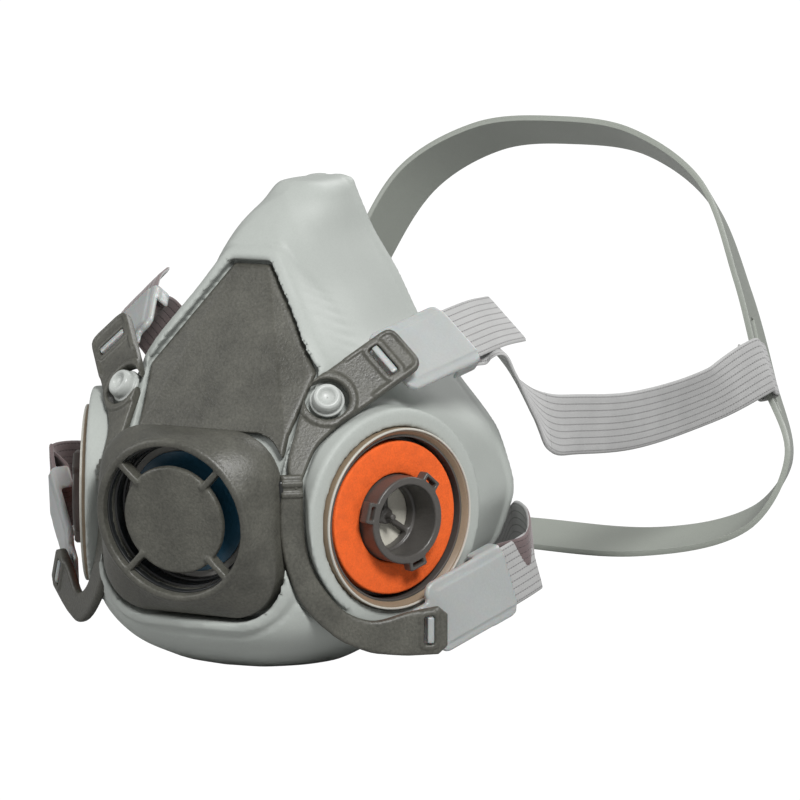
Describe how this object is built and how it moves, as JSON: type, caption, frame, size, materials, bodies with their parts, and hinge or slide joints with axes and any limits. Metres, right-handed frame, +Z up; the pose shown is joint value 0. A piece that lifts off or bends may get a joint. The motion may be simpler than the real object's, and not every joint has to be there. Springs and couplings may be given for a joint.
{
  "type": "half-face respirator",
  "caption": "Reusable half-face respirator: soft facepiece, bayonet inlets, exhalation valve under a hard cover, strap clips, elastic straps, head cradle and neck clasp.",
  "frame": {"origin": "middle of the footprint of the whole respirator, on the surface it stands on", "axes": "+X to the wearer's left, +Y from the exhalation cover back to the head cradle, +Z up"},
  "size_m": [0.178, 0.2698, 0.1324],
  "materials": {
    "elastomer": "soft matte moulded elastomer",
    "dark_plastic": "fine-textured hard plastic",
    "ring_plastic": "satin hard plastic",
    "connector_plastic": "satin hard plastic",
    "gasket_foam": "open foam rubber",
    "valve_blue": "thin smooth silicone",
    "valve_pale": "thin smooth silicone",
    "peg_plastic": "satin white plastic",
    "clip_plastic": "translucent moulded plastic",
    "webbing": "ribbed elastic webbing",
    "cradle_plastic": "satin flexible plastic",
    "clasp_plastic": "satin hard plastic"
  },
  "bodies": {
    "mask": {"facepiece": "elastomer", "harness_yoke": "dark_plastic", "front_cover": "dark_plastic", "exhalation_valve_seat": "dark_plastic", "neck_loop": "clasp_plastic", "port_ring_right": "ring_plastic", "inlet_connector_right": "connector_plastic", "inlet_gasket_right": "gasket_foam", "retaining_peg_right": "peg_plastic", "port_ring_left": "ring_plastic", "inlet_connector_left": "connector_plastic", "inlet_gasket_left": "gasket_foam", "retaining_peg_left": "peg_plastic", "strap_upper_right": "webbing", "strap_upper_left": "webbing", "strap_lower_right": "webbing", "strap_lower_left": "webbing"},
    "exhalation_valve": {"exhalation_valve": "valve_blue"},
    "inhalation_valve_right": {"inhalation_valve_right": "valve_pale"},
    "inhalation_valve_left": {"inhalation_valve_left": "valve_pale"},
    "head_cradle": {"head_cradle": "cradle_plastic"},
    "neck_hook": {"neck_hook": "clasp_plastic"},
    "clip_upper_right": {"clip_upper_right": "clip_plastic"},
    "clip_upper_left": {"clip_upper_left": "clip_plastic"},
    "clip_lower_right": {"clip_lower_right": "clip_plastic"},
    "clip_lower_left": {"clip_lower_left": "clip_plastic"}
  },
  "joints": [
    {"name": "exhalation_valve_lift", "type": "slide", "parent": "mask", "child": "exhalation_valve", "axis": [0, -0.9903, -0.1392], "range_m": [0, 0.0015], "stiffness_N_per_m": 30, "springref_m": -0.001},
    {"name": "inhalation_valve_right_lift", "type": "slide", "parent": "mask", "child": "inhalation_valve_right", "axis": [-0.9026, 0.4305, 0], "range_m": [0, 0.0015], "stiffness_N_per_m": 30, "springref_m": -0.001},
    {"name": "inhalation_valve_left_lift", "type": "slide", "parent": "mask", "child": "inhalation_valve_left", "axis": [0.9026, 0.4305, 0], "range_m": [0, 0.0015], "stiffness_N_per_m": 30, "springref_m": -0.001},
    {"name": "clip_upper_right_swing", "type": "hinge", "parent": "mask", "child": "clip_upper_right", "pos_m": [0.0401, -0.0898, 0.08271], "axis": [-0.7357, 0.0909, 0.6712], "range_deg": [-3, 12], "stiffness_Nm_per_rad": 0.02, "deforming": ["strap_upper_right"]},
    {"name": "clip_upper_left_swing", "type": "hinge", "parent": "mask", "child": "clip_upper_left", "pos_m": [-0.0401, -0.0898, 0.08271], "axis": [-0.7357, -0.0909, -0.6712], "range_deg": [-3, 12], "stiffness_Nm_per_rad": 0.02, "deforming": ["strap_upper_left"]},
    {"name": "clip_lower_right_swing", "type": "hinge", "parent": "mask", "child": "clip_lower_right", "pos_m": [0.05568, -0.09482, 0.01358], "axis": [0, 0, 1], "range_deg": [-8, 1], "stiffness_Nm_per_rad": 0.02, "deforming": ["strap_lower_right"]},
    {"name": "clip_lower_left_swing", "type": "hinge", "parent": "mask", "child": "clip_lower_left", "pos_m": [-0.05404, -0.09616, 0.01974], "axis": [0, 0, -1], "range_deg": [-6, 1], "stiffness_Nm_per_rad": 0.02, "deforming": ["strap_lower_left"]},
    {"name": "cradle_tilt", "type": "hinge", "parent": "mask", "child": "head_cradle", "pos_m": [0, 0.09935, 0.05772], "axis": [1, 0, 0], "range_deg": [-18, 18], "deforming": ["strap_upper_right", "strap_upper_left"]},
    {"name": "neck_hook_swing", "type": "hinge", "parent": "mask", "child": "neck_hook", "pos_m": [0, -0.00485, 0.01048], "axis": [0, 0, 1], "range_deg": [-20, 20], "deforming": ["strap_lower_left"]}
  ]
}
